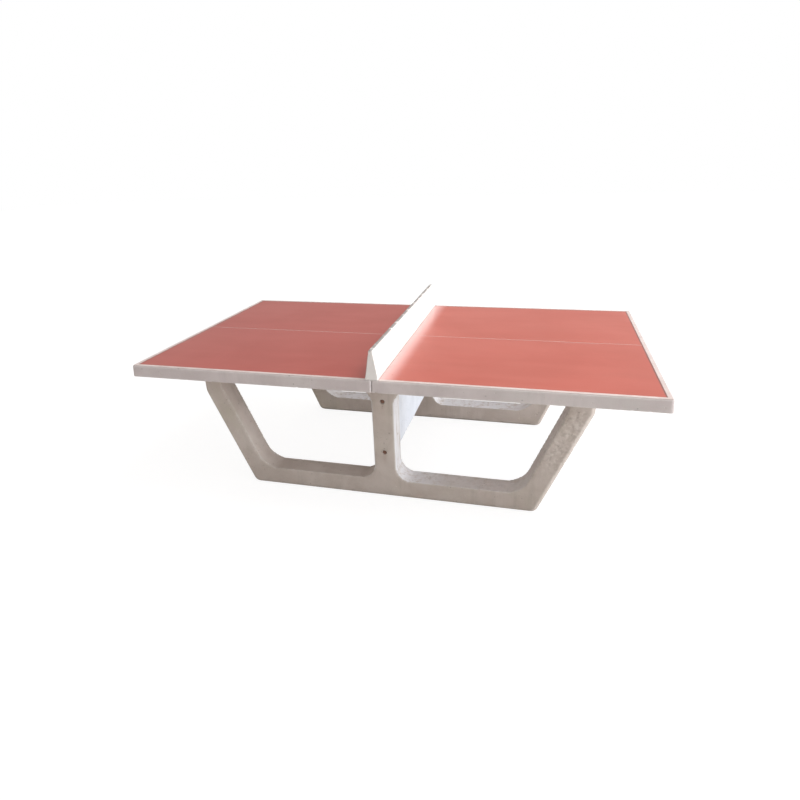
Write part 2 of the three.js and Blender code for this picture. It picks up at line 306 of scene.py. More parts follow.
def concreteMaterial(name, values, rustSpots=()):
    material, tree, shader, place = newMaterial(name)
    axes = axesOf(tree, place)
    edge = attributeOf(tree, "edge")
    grain = useGroup(tree, "grain", place, {
        "Patch Scale": values["patchScale"], "Grain Scale": values["grainScale"]})
    pits = useGroup(tree, "pits", place, {"Cells": values["pitCells"], "Share": values["pitShare"]})
    runs = useGroup(tree, "runs", place, {"Share": values["runShare"]})["Mask"]
    wear = useGroup(tree, "wear", place, {"Edge": edge, "Amount": values["wear"]})["Mask"]
    colour = mixColour(tree, grain["Patches"], values["dark"], values["light"])
    for tint, spread in zip(values["tints"], (1.9, 3.1)):
        spots = noiseOf(tree, scaled(tree, place, (spread, 3.7, spread)), 1.0, 4.0, 0.6)
        where = times(tree, mapRange(tree, spots, 0.50, 0.72), values["tintShare"])
        colour = mixColour(tree, where, colour, tint)
    colour = mixColour(tree, times(tree, grain["Grain"], values["sandShare"]), colour, values["sand"])
    colour = mixColour(tree, runs, colour, values["stain"])
    if "splash" in values:
        splash = useGroup(tree, "splash", place, {"Reach": values["splashReach"]})["Mask"]
        colour = mixColour(tree, times(tree, splash, values["splash"]), colour, values["soilAndEndShade"])
    colour = mixColour(tree, wear, colour, values["bare"])
    colour = mixColour(tree, times(tree, pits["Mask"], values["pitShade"]), colour, values["pitColour"])
    # painted light: a pale wash on the post's sides and on the rail tops, standing in for the light they
    # catch
    if "paintedLight" in values:
        paintedLightNoise = mapRange(tree, noiseOf(tree, scaled(tree, place, (30, 30, 4)), 1.0, 4.0, 0.7), 0.25, 0.55)
        colour = mixColour(tree, times(tree, attributeOf(tree, "paintedLit"), paintedLightNoise), colour, values["paintedLight"])
    for shade, turn in zip(values.get("pocks", ()), (0.0, 1.7)):
        turned = addNode(tree, "ShaderNodeMapping", {"Vector": place, "Rotation": (turn, turn, 0)})
        fleck = noiseOf(tree, turned.outputs[0], values["pockScale"], 3.0, 0.6)
        fleck = mapRange(tree, fleck, 0.48, 0.68)
        mask = times(tree, times(tree, fleck, attributeOf(tree, "pocked")), values["pockShare"])
        colour = mixColour(tree, mask, colour, shade)
    if "grime" in values:
        spots = mapRange(tree, noiseOf(tree, place, 17.0, 5.0, 0.7), 0.30, 0.50)
        dirty = times(tree, dirtyEdges(tree, edge, values, axes["Z"]), values["grime"])
        colour = mixColour(tree, times(tree, spots, dirty, True), colour, values["grimeColour"])
    if "endShade" in values:     # painted shade: the two ends of the slab are darkened against the strong side light on them
        start, full, share = values["endShade"]
        endShaded = times(tree, mapRange(tree, maths(tree, "ABSOLUTE", axes["X"]), start, full), share)
        colour = mixColour(tree, endShaded, colour, values["soilAndEndShade"])
    if rustSpots:
        rusty = rustRunMask(tree, place, rustSpots, values["rustRun"])
        colour = mixColour(tree, rusty, colour, values["rustRun"]["colour"])
    roughLow, roughHigh = values["roughness"]
    feed(tree, shader, colour, mapRange(tree, grain["Patches"], 0.0, 1.0, roughHigh, roughLow))
    shader.inputs["Specular IOR Level"].default_value = values["gloss"]
    height = plus(tree, grain["Height"], times(tree, pits["Height"], values["pitDepth"]))
    addBump(tree, shader, height, values["bump"])
    return material


frameConcreteValues = {
    "dark": (0.475, 0.405, 0.355, 1), "light": (0.575, 0.505, 0.455, 1), "sand": (0.66, 0.59, 0.535, 1),
    "stain": (0.33, 0.29, 0.245, 1), "soilAndEndShade": (0.37, 0.31, 0.265, 1), "bare": (0.68, 0.64, 0.60, 1),
    "pitColour": (0.16, 0.135, 0.115, 1), "patchScale": 5.2, "grainScale": 320.0, "sandShare": 0.30,
    "pitCells": 62.0, "pitShare": 0.30, "pitShade": 0.55, "pitDepth": 1.6, "runShare": 0.45, "wear": 0.5,
    "splash": 0.30, "splashReach": 0.12, "roughness": (0.72, 0.90), "gloss": 0.35, "bump": 0.0011,
    "tints": ((0.50, 0.37, 0.31, 1), (0.47, 0.43, 0.33, 1)), "tintShare": 0.45,
    # colour of the painted light on the post's sides and the rail tops
    "paintedLight": (0.80, 0.79, 0.80, 1),
    "pocks": ((0.33, 0.285, 0.235, 1), (0.72, 0.665, 0.60, 1)), "pockScale": 40.0, "pockShare": 0.42,
    "rustRun": {"halfWidth": 0.018, "length": 0.10, "strength": 0.16, "colour": (0.30, 0.13, 0.055, 1)},
}
slabConcreteValues = {
    "dark": (0.545, 0.475, 0.460, 1), "light": (0.640, 0.570, 0.550, 1), "sand": (0.71, 0.65, 0.63, 1),
    "stain": (0.43, 0.40, 0.38, 1), "soilAndEndShade": (0.45, 0.40, 0.36, 1), "bare": (0.80, 0.76, 0.74, 1),
    "pitColour": (0.24, 0.215, 0.20, 1), "patchScale": 3.4, "grainScale": 360.0, "sandShare": 0.25,
    "pitCells": 48.0, "pitShare": 0.22, "pitShade": 0.5, "pitDepth": 1.3, "runShare": 0.25, "wear": 0.6,
    "roughness": (0.66, 0.86), "gloss": 0.4, "bump": 0.0008,
    "tints": ((0.62, 0.53, 0.52, 1), (0.56, 0.54, 0.50, 1)), "tintShare": 0.35,
    "endShade": (1.372, 1.376, 0.75),     # starts, full, share of the painted shade on the slab's ends
}
netConcreteValues = {
    "dark": (0.790, 0.745, 0.700, 1), "light": (0.880, 0.850, 0.815, 1), "sand": (0.90, 0.88, 0.85, 1),
    "stain": (0.62, 0.57, 0.52, 1), "bare": (0.90, 0.88, 0.85, 1), "pitColour": (0.38, 0.35, 0.32, 1),
    "patchScale": 5.0, "grainScale": 380.0, "sandShare": 0.25, "pitCells": 52.0, "pitShare": 0.16,
    "pitShade": 0.45, "pitDepth": 1.0, "runShare": 0.45, "wear": 0.5, "roughness": (0.55, 0.74),
    "gloss": 0.5, "bump": 0.0006, "tints": ((0.78, 0.72, 0.66, 1), (0.74, 0.73, 0.67, 1)), "tintShare": 0.4,
    "grime": 0.8, "grimeColour": (0.20, 0.18, 0.17, 1), "footDarkening": 0.12,
    "grimeLevels": (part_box("net_wall")[0].z + 0.003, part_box("net_wall")[1].z - 0.004),     # foot, top
}
panelCoatValues = {
    "dark": (0.700, 0.735, 0.790, 1), "light": (0.780, 0.820, 0.880, 1), "sand": (0.82, 0.85, 0.90, 1),
    "stain": (0.50, 0.52, 0.53, 1), "bare": (0.62, 0.59, 0.55, 1), "pitColour": (0.33, 0.34, 0.35, 1),
    "patchScale": 3.6, "grainScale": 300.0, "sandShare": 0.22, "pitCells": 46.0, "pitShare": 0.20,
    "pitShade": 0.5, "pitDepth": 1.1, "runShare": 0.5, "wear": 0.8, "roughness": (0.52, 0.72),
    "gloss": 0.45, "bump": 0.0006, "tints": ((0.74, 0.75, 0.78, 1), (0.70, 0.72, 0.72, 1)),
    "tintShare": 0.3, "grime": 0.25, "grimeColour": (0.36, 0.35, 0.34, 1),
}


redResinValues = {
    "dark": (0.510, 0.112, 0.078, 1), "light": (0.555, 0.126, 0.090, 1), "dust": (0.62, 0.28, 0.22, 1),
    # leftPaintedShade is painted shade that darkens the whole left half of the court
    "leftPaintedShade": (0.82, 0.70, 0.74, 1), "dustShare": 0.05, "roughness": (0.282, 0.305), "gloss": 0.5,
    "pile": 90.0, "bump": 0.00004, "rimDarkening": (0.16, 0.085, 0.075, 1), "rimShare": 0.85,
    "paintedLight": (0.88, 0.60, 0.58, 1), "paintedReflectionShare": 0.72, "paintedReflectionReach": 0.135,     # painted reflection: a pale band on the right court beside the net, standing in for the net's light caught in the resin
}


def redResinMaterial(values):
    material, tree, shader, place = newMaterial("red court resin")
    axes = axesOf(tree, place)
    resin = useGroup(tree, "resin", place, {"Pile": values["pile"]})
    dust = useGroup(tree, "grain", place, {"Patch Scale": 2.6, "Grain Scale": 210.0})
    colour = mixColour(tree, resin["Patches"], values["dark"], values["light"])
    dustMask = times(tree, times(tree, dust["Patches"], dust["Grain"]), values["dustShare"] * 2)
    colour = mixColour(tree, dustMask, colour, values["dust"])
    colour = mixColour(tree, times(tree, resin["Scuffs"], values["dustShare"]), colour, values["dust"])
    leftShadedHalf = maths(tree, "LESS_THAN", axes["X"], 0.0)     # painted shade: the left half is darkened, standing in for the less light it catches
    colour = mixColour(tree, leftShadedHalf, colour, values["leftPaintedShade"], "MULTIPLY")
    fieldLow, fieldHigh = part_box("red_field_right_rear")
    # painted reflection of the net's light on the right court, fading away from the net
    paintedReflection = times(tree, mapRange(tree, axes["X"], values["paintedReflectionReach"], fieldLow.x),
                     mapRange(tree, noiseOf(tree, place, 26.0, 5.0, 0.7), 0.05, 0.45))
    paintedReflection = times(tree, paintedReflection, maths(tree, "GREATER_THAN", axes["X"], 0.0))
    colour = mixColour(tree, times(tree, paintedReflection, values["paintedReflectionShare"]), colour, values["paintedLight"])
    # the field darkens along its rim at the ends and at the rear
    toEnd = maths(tree, "SUBTRACT", fieldHigh.x, maths(tree, "ABSOLUTE", axes["X"]))
    toRear = maths(tree, "SUBTRACT", fieldHigh.y, axes["Y"])     # the front edge stays lighter
    wobble = times(tree, noiseOf(tree, place, 45.0, 4.0, 0.7), 0.006)
    rim = mapRange(tree, plus(tree, maths(tree, "MINIMUM", toEnd, toRear), wobble), 0.014, 0.005)
    colour = mixColour(tree, times(tree, rim, values["rimShare"]), colour, values["rimDarkening"])
    smooth, dull = values["roughness"]
    rough = plus(tree, mapRange(tree, resin["Patches"], 0.0, 1.0, dull, smooth),
                 times(tree, resin["Scuffs"], 0.012))
    feed(tree, shader, colour, rough)
    shader.inputs["Specular IOR Level"].default_value = values["gloss"]
    addBump(tree, shader, resin["Height"], values["bump"])
    return material


linePaintValues = {
    "white": (0.74, 0.64, 0.61, 1), "dull": (0.64, 0.53, 0.50, 1), "worn": (0.55, 0.38, 0.34, 1),
    "wornShare": 0.55, "roughness": 0.48, "bump": 0.00025,
}


def linePaintMaterial(values):
    material, tree, shader, place = newMaterial("white line paint")
    grain = useGroup(tree, "grain", place, {"Patch Scale": 11.0, "Grain Scale": 240.0})
    resin = useGroup(tree, "resin", place, {"Pile": 170.0})
    colour = mixColour(tree, grain["Patches"], values["dull"], values["white"])
    chipped = mapRange(tree, noiseOf(tree, place, 60.0, 5.0, 0.7), 0.62, 0.72)
    colour = mixColour(tree, times(tree, chipped, values["wornShare"]), colour, values["worn"])
    feed(tree, shader, colour, plus(tree, times(tree, resin["Scuffs"], 0.2), values["roughness"]))
    addBump(tree, shader, resin["Height"], values["bump"])
    return material


rustValues = {
    "bloom": (0.250, 0.135, 0.095, 1), "dark": (0.110, 0.070, 0.056, 1), "fleck": (0.36, 0.19, 0.12, 1),
    "scale": 160.0, "bump": 0.0005,
}


def rustMaterial(values):
    material, tree, shader, place = newMaterial("rusted steel")
    rust = useGroup(tree, "rust", place, {"Scale": values["scale"]})
    colour = mixColour(tree, rust["Bloom"], values["dark"], values["bloom"])
    colour = mixColour(tree, times(tree, rust["Flecks"], 0.5), colour, values["fleck"])
    feed(tree, shader, colour, mapRange(tree, rust["Bloom"], 0.0, 1.0, 0.55, 0.88),
         mapRange(tree, rust["Bloom"], 0.0, 0.8, 0.7, 0.05))
    addBump(tree, shader, rust["Height"], values["bump"])
    return material


zincValues = {
    "bright": (0.60, 0.62, 0.63, 1), "dull": (0.36, 0.38, 0.39, 1), "whiteRust": (0.66, 0.67, 0.66, 1),
    "bump": 0.00015,
}


def zincMaterial(values):
    material, tree, shader, place = newMaterial("galvanised steel")
    spangle = addNode(tree, "ShaderNodeTexVoronoi", {"Vector": place, "Scale": 220.0}).outputs["Color"]
    shade = addNode(tree, "ShaderNodeSeparateColor", {0: spangle}).outputs[0]
    rust = useGroup(tree, "rust", place, {"Scale": 70.0})
    colour = mixColour(tree, shade, values["dull"], values["bright"])
    colour = mixColour(tree, times(tree, rust["Bloom"], 0.35), colour, values["whiteRust"])
    feed(tree, shader, colour, mapRange(tree, rust["Bloom"], 0.0, 1.0, 0.36, 0.68),
         mapRange(tree, rust["Bloom"], 0.0, 1.0, 0.95, 0.55))
    addBump(tree, shader, rust["Height"], values["bump"])
    return material


rubberValues = {"dark": (0.018, 0.018, 0.019, 1), "dusty": (0.075, 0.070, 0.064, 1), "bump": 0.0003}


def rubberMaterial(values):
    material, tree, shader, place = newMaterial("bearing rubber")
    grain = useGroup(tree, "grain", place, {"Patch Scale": 24.0, "Grain Scale": 500.0})
    dusting = times(tree, grain["Patches"], grain["Grain"])
    feed(tree, shader, mixColour(tree, dusting, values["dark"], values["dusty"]),
         mapRange(tree, dusting, 0.0, 1.0, 0.62, 0.86))
    addBump(tree, shader, grain["Height"], values["bump"])
    return material


boltHeights = [sum(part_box(f"panel_bolt_{level}_front")[i].z for i in (0, 1)) / 2 for level in levels]
materials = {
    "concrete": concreteMaterial("frame concrete", frameConcreteValues, boltHeights),
    "slab_concrete": concreteMaterial("slab concrete", slabConcreteValues),
    "net_concrete": concreteMaterial("net concrete", netConcreteValues),
    "panel_paint": concreteMaterial("whitewashed concrete", panelCoatValues),
    "red_resin": redResinMaterial(redResinValues),
    "line_paint": linePaintMaterial(linePaintValues),
    "rusty_steel": rustMaterial(rustValues),
    "zinc_steel": zincMaterial(zincValues),
    "pad_rubber": rubberMaterial(rubberValues),
}
print("materials ready:", len(materials))


# small helpers for meshes

cutPast = 0.02     # how far a cutter reaches past a face
sharpAngles = {"coat": 15, "steel": 35, "rubber": 50}


def boxOf(node):
    low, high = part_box(node)
    return low, high, (low + high) / 2


def blockBetween(low, high):
    bm = bmesh.new()
    bmesh.ops.create_cube(bm, size=1.0)
    size = Vector(high) - Vector(low)
    bmesh.ops.scale(bm, vec=size, verts=bm.verts)
    bmesh.ops.translate(bm, vec=(Vector(low) + Vector(high)) / 2, verts=bm.verts)
    return bm


def bevelEdges(bm, edges, offset, segments, clamped=True):
    bmesh.ops.bevel(bm, geom=edges, offset=offset, offset_type="OFFSET", segments=segments, profile=0.5,
                    affect="EDGES", material=-1, clamp_overlap=clamped)


def edgeMiddle(edge):
    return (edge.verts[0].co + edge.verts[1].co) / 2


def uprightEdges(edges, length):
    return [e for e in edges if abs((e.verts[0].co - e.verts[1].co).z) > length]


def cutLong(bm, step, shortest):     # shortest run worth cutting, for each axis in turn
    for axis, least in shortest.items():
        long = []
        for edge in bm.edges:
            run = edge.verts[1].co - edge.verts[0].co
            if abs(run[axis]) > least and abs(run[axis]) > 0.9 * run.length:
                long.append(edge)
        if long:
            count = max(1, round(max(edge.calc_length() for edge in long) / step) - 1)
            bmesh.ops.subdivide_edges(bm, edges=long, cuts=count, use_grid_fill=True)


def extruded(bm, by):     # gives a flat outline its thickness
    grown = bmesh.ops.extrude_face_region(bm, geom=list(bm.faces), use_keep_orig=True)["geom"]
    moved = [item for item in grown if isinstance(item, bmesh.types.BMVert)]
    bmesh.ops.translate(bm, vec=by, verts=moved)
    bmesh.ops.recalc_face_normals(bm, faces=bm.faces[:])
    return [item for item in grown if isinstance(item, bmesh.types.BMEdge)]


def meshOf(bm, name, sharp=None):
    bmesh.ops.recalc_face_normals(bm, faces=bm.faces[:])
    for face in bm.faces:
        face.smooth = True
    mesh = bpy.data.meshes.new(name)
    bm.to_mesh(mesh)
    bm.free()
    if sharp:
        mesh.set_sharp_from_angle(angle=math.radians(sharp))
    return mesh


def madeReal(mesh, kind, **settings):     # one modifier applied to a mesh
    holder = bpy.data.objects.new("holder", mesh)
    scene.collection.objects.link(holder)
    modifier = holder.modifiers.new(kind, kind)
    for key, value in settings.items():
        setattr(modifier, key, value)
    graph = bpy.context.evaluated_depsgraph_get()
    result = bpy.data.meshes.new_from_object(holder.evaluated_get(graph))
    bpy.data.objects.remove(holder)
    return result


def cutAway(mesh, cutterMesh):
    cutter = bpy.data.objects.new("cutter", cutterMesh)
    scene.collection.objects.link(cutter)
    result = madeReal(mesh, "BOOLEAN", operation="DIFFERENCE", solver="MANIFOLD", object=cutter)
    bpy.data.objects.remove(cutter)
    return result


def bored(mesh, radius, start, finish, place, sharp):
    bm = bmesh.new()
    addBar(bm, "Z", radius, start, finish, place)
    mesh = cutAway(mesh, meshOf(bm, "bore"))
    mesh.set_sharp_from_angle(angle=math.radians(sharp))
    return mesh


def addPiece(name, mesh, slotName, node):
    mesh.materials.clear()
    mesh.materials.append(materials[slotName])
    piece = bpy.data.objects.new(name, mesh)
    scene.collection.objects.link(piece)
    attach(piece, "root")
    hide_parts(node)


def addBar(bm, axis, radius, start, finish, place, segments=32):
    turned = {"Z": Matrix.Identity(4), "Y": Euler((-math.pi / 2, 0, 0)).to_matrix().to_4x4()}[axis]
    middle = Vector(place)
    middle["XYZ".index(axis)] += (start + finish) / 2
    bmesh.ops.create_cone(bm, cap_ends=True, segments=segments, radius1=radius, radius2=radius,
                          depth=finish - start, matrix=Matrix.Translation(middle) @ turned)


def edgeValues(bm):
    bm.normal_update()
    found = {}
    for vert in bm.verts:
        spread = max(vert.normal.angle(face.normal, 0.0) for face in vert.link_faces)
        found[vert.index] = min(1.0, max(0.0, (spread - 0.10) / 0.35))
    return found


def ramp(value, start, full):
    return min(1.0, max(0.0, (value - start) / (full - start)))


def weatherMesh(mesh, values, keep=None):     # hand-cast unevenness, chipped arrises and an edge attribute
    bm = bmesh.new()
    bm.from_mesh(mesh)
    bm.verts.ensure_lookup_table()
    bm.verts.index_update()
    edges = edgeValues(bm)
    layer = bm.verts.layers.float.new("edge")
    paintedLitLayer = bm.verts.layers.float.new("paintedLit")
    pockedLayer = bm.verts.layers.float.new("pocked")
    pick = random.Random(values["seed"])
    corners = [index for index, value in edges.items() if value > 0.45]
    chips = []
    for index in pick.sample(corners, min(values["chips"], len(corners))):
        radius = pick.uniform(*values["chipRadius"])
        chips.append((bm.verts[index].co.copy(), radius, pick.uniform(0.18, 0.42) * radius))
    shift = Vector((values["seed"] * 1.7, 3.1, values["seed"] * 0.6))
    moves = []
    for vert in bm.verts:
        wave = noise.noise(vert.co * 4.5 + shift) + 0.5 * noise.noise(vert.co * 17.0 + shift)
        move = wave * values["wave"]
        if edges[vert.index] > 0.05:
            rough = noise.noise(vert.co * 55.0 + shift)
            move += min(0.0, rough) * values["ragged"] * edges[vert.index]
        for centre, radius, depth in chips:
            away = (vert.co - centre).length
            if away < radius:
                move -= depth * (1.0 - (away / radius) ** 2)
        if "pocked" in values:
            x, z, reach = values["pocked"]
            near = max(0.0, 1.0 - math.hypot(vert.co.x - x, vert.co.z - z) / reach)
            depth = min(1.0, near * 2.5) * (1.0 - edges[vert.index])
            vert[pockedLayer] = depth
            pock = max(0.0, noise.noise(vert.co * 62.0 + shift) - 0.08)
            move -= min(0.0024, pock * 0.010) * depth
        moves.append((vert, vert.normal * move))
        # painted light: marks the post's sides and the upward-facing rail tops to be lightened as if lit
        if "paintedLit" in values:
            lowest, highest, half = values["paintedLit"]
            inside = lowest < vert.co.z < highest and abs(vert.co.x) < half
            paintedLit = ramp(abs(vert.normal.x), 0.20, 0.70) if inside else 0.0
            if math.copysign(1, vert.co.x) in values["paintedLitRails"] and vert.co.z > 0.09:
                faded = max(0.30, ramp(values["paintedLitReach"] - abs(vert.co.x), 0.0, 0.40))
                paintedLit = max(paintedLit, faded * ramp(vert.normal.z, 0.15, 0.60))
            vert[paintedLitLayer] = paintedLit
    for vert, move in moves:
        vert[layer] = edges[vert.index]
        if keep is None or not keep(vert.co):
            vert.co += move
    bm.to_mesh(mesh)
    bm.free()
    return mesh


def airHoleCutter(mesh, values, wanted):
    pick = random.Random(values["seed"] + 50)
    flat = [p for p in mesh.polygons if wanted(p.center, p.normal)]
    bm = bmesh.new()
    taken = []
    for face in pick.sample(flat, min(values["airHoles"], len(flat))):
        radius = pick.uniform(*values["airHoleRadius"]) * (0.5 + pick.random() ** 2)
        place = face.center + face.normal * radius * pick.uniform(0.1, 0.5)
        if any((place - other).length < 0.014 for other in taken):
            continue
        taken.append(place)
        size = Matrix.Diagonal((pick.uniform(0.8, 1.25), pick.uniform(0.8, 1.25), 1.0, 1.0))
        spin = Euler([pick.uniform(0, math.pi) for _ in range(3)]).to_matrix().to_4x4()
        bmesh.ops.create_icosphere(bm, subdivisions=1, radius=radius,
                                   matrix=Matrix.Translation(place) @ spin @ size)
    return meshOf(bm, "air holes")


# side frames

sideFrameValues = {
    "footHalf": 0.832, "footCorner": 0.024, "slope": 0.404,
    "outerKnees": {-1: 0.580, 1: 0.608}, "innerKnee": 0.620, "legWidth": 0.124,
    "rail": 0.110, "postHalf": 0.058, "headHalf": 0.160, "headUnder": 0.665,
    "legRound": 0.0944, "postRound": 0.095, "headRound": 0.090, "kneeRound": 0.012,
    "arris": 0.023, "outerArris": 0.018, "outerReach": 0.03, "voxel": 0.006,
    "wave": 0.0006, "ragged": 0.0009, "chips": 16, "chipRadius": (0.005, 0.012),
    "airHoles": 150, "airHoleRadius": (0.0020, 0.0046), "recessRadius": 0.013, "recessDepth": 0.012,
    "boltHole": 0.007, "dowelHole": 0.0083,
    "pocked": (0.955, 0.44, 0.24),     # along, height and reach of the pocked patch
    "paintedLit": (0.17, 0.66, 0.11),     # from, to and half width of the painted light on the post's sides
    "paintedLitReach": {-1: 0.48, 1: 1.0},     # front, rear rail: how far the painted light reaches on the rail tops
}


def frameCorners(values, top, side):
    foot, slope = values["footHalf"], values["slope"]
    knee = values["outerKnees"][side]
    outer = foot + slope * knee
    inner = foot + slope * values["innerKnee"] - values["legWidth"]
    heel = foot + slope * values["rail"] - values["legWidth"]
    return [
        (foot, 0, values["footCorner"]),
        (outer, knee, values["kneeRound"]),
        (outer, top, 0),
        (inner, top, 0.004),
        (inner, values["innerKnee"], values["kneeRound"]),
        (heel, values["rail"], values["legRound"]),
        (values["postHalf"], values["rail"], values["postRound"]),
        (values["postHalf"], values["headUnder"], values["headRound"]),
        (values["headHalf"], values["headUnder"], 0.004),
        (values["headHalf"], top, 0.004),
    ]


def isOuter(co, values):     # on the floor line or the outer side of a leg
    knee = min(values["outerKnees"].values())
    edge = values["footHalf"] + values["slope"] * min(co.z, knee)
    return co.z < 0.001 or abs(co.x) > edge - values["outerReach"]


def frameBody(values, low, high, turned):
    outline = frameCorners(values, high.z, turned)
    outline += [(-x, z, cut) for x, z, cut in reversed(frameCorners(values, high.z, -turned))]
    bm = bmesh.new()
    face = bm.faces.new([bm.verts.new((x, low.y, z)) for x, z, cut in outline])
    for vert, (x, z, cut) in zip(list(face.verts), outline):
        if not cut:
            continue
        segments = 10 if cut > 0.05 else 3
        bmesh.ops.bevel(bm, geom=[vert], offset=cut, offset_type="OFFSET", segments=segments, profile=0.5,
                        affect="VERTICES", material=-1, clamp_overlap=False)
    rims = list(bm.edges)
    rims += extruded(bm, (0, high.y - low.y, 0))
    inner = [e for e in rims if not isOuter(edgeMiddle(e), values)]
    bevelEdges(bm, inner, values["arris"], 4)
    outer = [e for e in bm.edges if e.calc_face_angle(0) > 1.3 and isOuter(edgeMiddle(e), values)
             and abs(e.verts[0].co.y - e.verts[1].co.y) < 0.001]
    bevelEdges(bm, outer, values["outerArris"], 1, False)     # clamped it would shrink at the corners
    bmesh.ops.triangulate(bm, faces=[item for item in bm.faces if len(item.verts) > 4])
    return meshOf(bm, "frame body")


def makeSideFrame(end, values):
    sign = ends[end]
    low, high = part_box(f"side_frame_{end}")
    mesh = frameBody(values, low, high, -sign)     # the rear frame is the same casting turned round
    mesh = madeReal(mesh, "REMESH", mode="VOXEL", voxel_size=values["voxel"], use_smooth_shade=True)
    along, height, reach = values["pocked"]
    seeded = dict(values, seed=21 + sign, pocked=(-sign * along, height, reach),
                  paintedLitRails=(1,) if sign < 0 else (-1, 1), paintedLitReach=values["paintedLitReach"][sign])
    weatherMesh(mesh, seeded, keep=lambda co: co.z < 0.004 or co.z > high.z - 0.003)
    outerY, innerY = (low.y, high.y) if sign < 0 else (high.y, low.y)
    bm = bmesh.new()
    for height in boltHeights:
        ys = sorted((outerY + sign * cutPast, innerY - sign * cutPast))
        addBar(bm, "Y", values["boltHole"], ys[0], ys[1], (0, 0, height))
    mesh = cutAway(mesh, meshOf(bm, "bolt holes"))
    bm = bmesh.new()
    for height in boltHeights:
        ys = sorted((outerY + sign * cutPast, outerY - sign * values["recessDepth"]))
        addBar(bm, "Y", values["recessRadius"], ys[0], ys[1], (0, 0, height), 40)
    for side in sides:
        dowelLow, dowelHigh, middle = boxOf(f"locating_dowel_{side}_{end}")
        addBar(bm, "Z", values["dowelHole"], dowelLow.z - 0.001, high.z + cutPast, (middle.x, middle.y, 0))
    mesh = cutAway(mesh, meshOf(bm, "recesses"))
    holes = airHoleCutter(mesh, seeded, lambda co, normal: co.z > 0.03 and co.z < high.z - 0.03
                          and not (abs(co.x) < 0.04 and min(abs(co.z - h) for h in boltHeights) < 0.04))
    mesh = cutAway(mesh, holes)
    addPiece(f"frame_{end}", mesh, "concrete", f"side_frame_{end}")
    print("side frame", end, len(mesh.polygons))


# centre panel

panelValues = {
    "arris": 0.008, "corner": 0.004, "cell": 0.009, "wave": 0.0006, "ragged": 0.0014,
    "chips": 14, "chipRadius": (0.009, 0.02), "airHoles": 60, "airHoleRadius": (0.0018, 0.0040),
    "socketHole": 0.0103, "socketDepth": 0.0706, "seed": 5,
}


def makePanel(values):
    low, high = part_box("centre_panel")
    bm = blockBetween(low, high)
    bottom = [e for e in bm.edges if all(v.co.z < low.z + 0.001 for v in e.verts)]
    bevelEdges(bm, bottom, values["arris"], 3)
    bevelEdges(bm, uprightEdges(bm.edges, 0.1), values["corner"], 2)
    cutLong(bm, values["cell"], {0: 0.02, 1: 0.02, 2: 0.02})
    mesh = meshOf(bm, "panel body")
    weatherMesh(mesh, values, keep=lambda co: co.z > high.z - 0.003)
    bm = bmesh.new()
    for height in boltHeights:
        for sign in (-1, 1):
            ys = sorted((sign * (high.y - values["socketDepth"]), sign * (high.y + cutPast)))
            addBar(bm, "Y", values["socketHole"], ys[0], ys[1], (0, 0, height))
    mesh = cutAway(mesh, meshOf(bm, "socket holes"))
    holes = airHoleCutter(mesh, values, lambda co, normal: abs(normal.x) > 0.95 and abs(co.y) < 0.40)
    mesh = cutAway(mesh, holes)
    addPiece("panel", mesh, "panel_paint", "centre_panel")
    print("centre panel", len(mesh.polygons))


# half tops

halfTopValues = {
    "draft": 0.004, "topArris": 0.0080, "bottomArris": 0.004, "corner": 0.012, "cell": 0.0105,
    "wave": 0.0004, "ragged": 0.0005, "chips": 12, "chipRadius": (0.004, 0.009),
    "airHoles": 70, "airHoleRadius": (0.0016, 0.0034), "dowelHole": 0.0085, "rodSlot": 0.008,
}


def makeHalfTop(side, values):
    sign = sides[side]
    low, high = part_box(f"half_top_{side}")
    bm = blockBetween(low, high)
    for vert in bm.verts:     # drafted sides: wider at the bottom
        if vert.co.z > high.z - 0.001:
            vert.co.y -= math.copysign(values["draft"], vert.co.y)
            if sign * vert.co.x > 0.5:
                vert.co.x -= sign * values["draft"]
    atJoint = lambda vert: sign * vert.co.x < 0.1
    outer = [e for e in bm.edges if not all(atJoint(v) for v in e.verts)]
    bevelEdges(bm, uprightEdges(outer, 0.03), values["corner"], 3)
    for level, offset, segments in ((high.z, values["topArris"], 4), (low.z, values["bottomArris"], 2)):
        rim = [e for e in bm.edges if all(abs(v.co.z - level) < 0.001 for v in e.verts)
               and not all(atJoint(v) for v in e.verts)]
        bevelEdges(bm, rim, offset, segments)
    cutLong(bm, values["cell"], {0: 0.1, 1: 0.1, 2: 0.03})
    mesh = meshOf(bm, "half top body")
    seeded = dict(values, seed=40 + sign)
    weatherMesh(mesh, seeded, keep=lambda co: sign * co.x < 0.003 or (abs(co.y) < 0.765
                and not low.z + 0.0015 <= co.z <= high.z - 0.0015))
    bm = bmesh.new()
    for end in ends:
        dowelLow, dowelHigh, middle = boxOf(f"locating_dowel_{side}_{end}")
        addBar(bm, "Z", values["dowelHole"], low.z - cutPast, dowelHigh.z + 0.001, (middle.x, middle.y, 0))
        rodLow, rodHigh, middle = boxOf(f"net_rod_{end}")
        addBar(bm, "Z", values["rodSlot"], low.z - cutPast, high.z + cutPast, (0, middle.y, 0))
    mesh = cutAway(mesh, meshOf(bm, "slab holes"))
    holes = airHoleCutter(mesh, seeded, lambda co, normal: abs(normal.z) < 0.2 and sign * co.x > 0.05
                          and low.z + 0.01 < co.z < high.z - 0.014)
    mesh = cutAway(mesh, holes)
    addPiece(f"top_{side}", mesh, "slab_concrete", f"half_top_{side}")
    print("half top", side, len(mesh.polygons))


# red court fields and white lines

coatValues = {"rim": 0.0008, "thinRim": 0.0005, "cell": 0.04, "wave": 0.00012}


